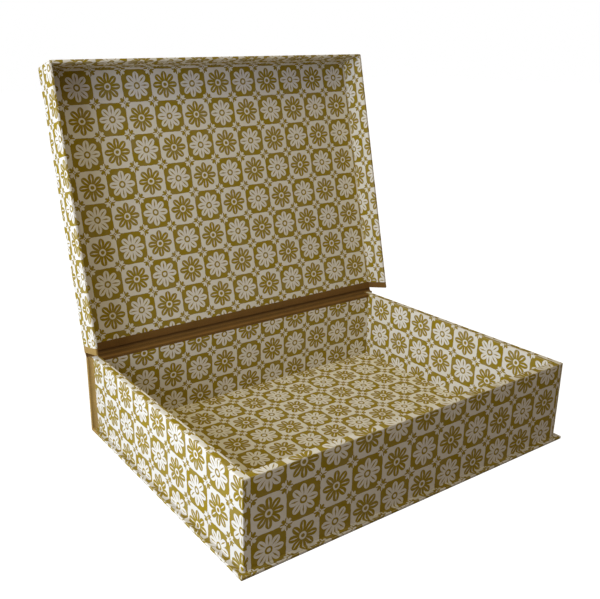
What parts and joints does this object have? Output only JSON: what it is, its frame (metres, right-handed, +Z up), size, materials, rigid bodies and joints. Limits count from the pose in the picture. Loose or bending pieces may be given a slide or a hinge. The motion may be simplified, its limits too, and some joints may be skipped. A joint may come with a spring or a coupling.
{
  "type": "box file",
  "caption": "Hinged board box for loose papers: a deep tray on a base board, with a shallow three-walled lid hung on bookcloth.",
  "frame": {"origin": "on the table, at the middle of the tray's underside", "axes": "+X to the right along the hinge, +Y from the front to the hinge side, +Z up"},
  "size_m": [0.34, 0.3094, 0.3247],
  "materials": {
    "greyboard": "bare grey bookbinding board",
    "printed_paper": "matt block-printed paper, olive and off-white",
    "bookcloth": "ochre-brown woven bookcloth"
  },
  "bodies": {
    "tray": {"base_board": "greyboard", "tray_left_wall": "greyboard", "tray_right_wall": "greyboard", "tray_front_wall": "greyboard", "tray_back_wall": "greyboard", "spine_board": "greyboard", "base_cover": "printed_paper", "tray_left_cover": "printed_paper", "tray_right_cover": "printed_paper", "tray_front_cover": "printed_paper", "back_wall_lining": "printed_paper", "floor_lining": "printed_paper", "base_turn_cloth": "bookcloth", "corner_cloth_left": "bookcloth", "corner_cloth_right": "bookcloth", "rim_cloth": "bookcloth", "spine_cloth": "bookcloth", "hinge_cloth_spine": "bookcloth"},
    "lid": {"lid_board": "greyboard", "lid_left_wall": "greyboard", "lid_right_wall": "greyboard", "lid_front_wall": "greyboard", "lid_left_cover": "printed_paper", "lid_right_cover": "printed_paper", "lid_front_cover": "printed_paper", "lid_outer_sheet": "printed_paper", "lid_lining": "printed_paper", "lid_back_cloth": "bookcloth", "wall_end_cloth_left": "bookcloth", "wall_end_cloth_right": "bookcloth", "hinge_cloth_lid": "bookcloth"}
  },
  "joints": [
    {"name": "lid_hinge", "type": "hinge", "parent": "tray", "child": "lid", "pos_m": [0, 0.1237, 0.073], "axis": [1, 0, 0], "range_deg": [-93, 103.2]}
  ]
}
